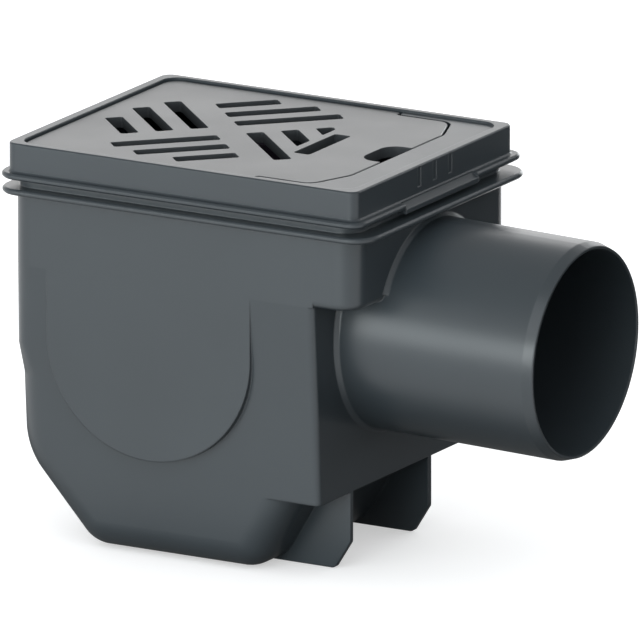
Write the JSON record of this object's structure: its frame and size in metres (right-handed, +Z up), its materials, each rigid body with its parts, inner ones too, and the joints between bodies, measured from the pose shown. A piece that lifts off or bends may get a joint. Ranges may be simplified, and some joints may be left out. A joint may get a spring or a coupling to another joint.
{
  "type": "basement floor drain",
  "caption": "Moulded basement floor drain with a slotted lift-out grate, clip-on frame, silt bucket, odour trap and a side outlet spigot.",
  "frame": {"origin": "on the base plane of the sump, below the centre of the top frame", "axes": "+X toward the outlet spigot, +Z up, Y across"},
  "size_m": [0.2918, 0.1668, 0.2053],
  "materials": {
    "body_plastic": "satin moulded polypropylene",
    "frame_plastic": "satin moulded plastic",
    "grate_plastic": "satin moulded plastic",
    "seal_rubber": "matte rubber",
    "trap_plastic": "matte moulded plastic",
    "bucket_plastic": "matte moulded plastic"
  },
  "bodies": {
    "root": {"drain_body": "body_plastic", "top_frame": "frame_plastic", "slotted_grate": "grate_plastic", "frame_seal": "seal_rubber", "trap_insert": "trap_plastic", "trap_seal": "seal_rubber", "silt_bucket": "bucket_plastic"}
  },
  "joints": []
}
